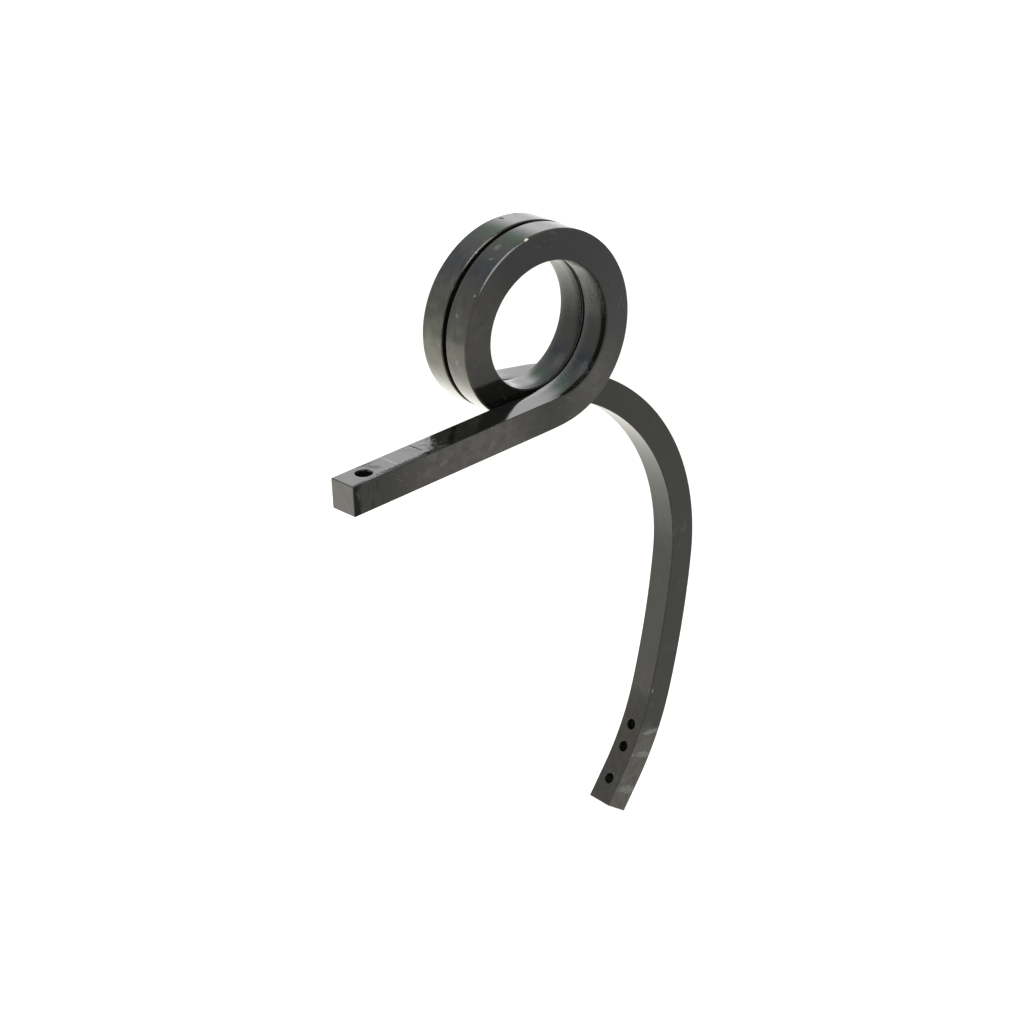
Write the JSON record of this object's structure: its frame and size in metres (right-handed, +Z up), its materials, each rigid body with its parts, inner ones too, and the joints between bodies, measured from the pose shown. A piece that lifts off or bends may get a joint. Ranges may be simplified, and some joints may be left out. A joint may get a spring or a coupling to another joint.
{
  "type": "cultivator spring tine",
  "caption": "Coiled spring tine for a cultivator: a painted square steel bar with a straight bolted arm, a wound coil and a curved leg drilled for a bolt-on point.",
  "frame": {"origin": "centre of the bolt hole in the arm, on the bar's centreline", "axes": "+Z up along the arm's bolt hole, +Y along the coil's axis from the arm's side to the leg's side, +X level and square to both, from the arm's free end towards the coil"},
  "size_m": [0.5104, 0.1169, 0.7238],
  "materials": {
    "black_paint": "satin"
  },
  "bodies": {
    "root": {"spring_tine": "black_paint"}
  },
  "joints": []
}
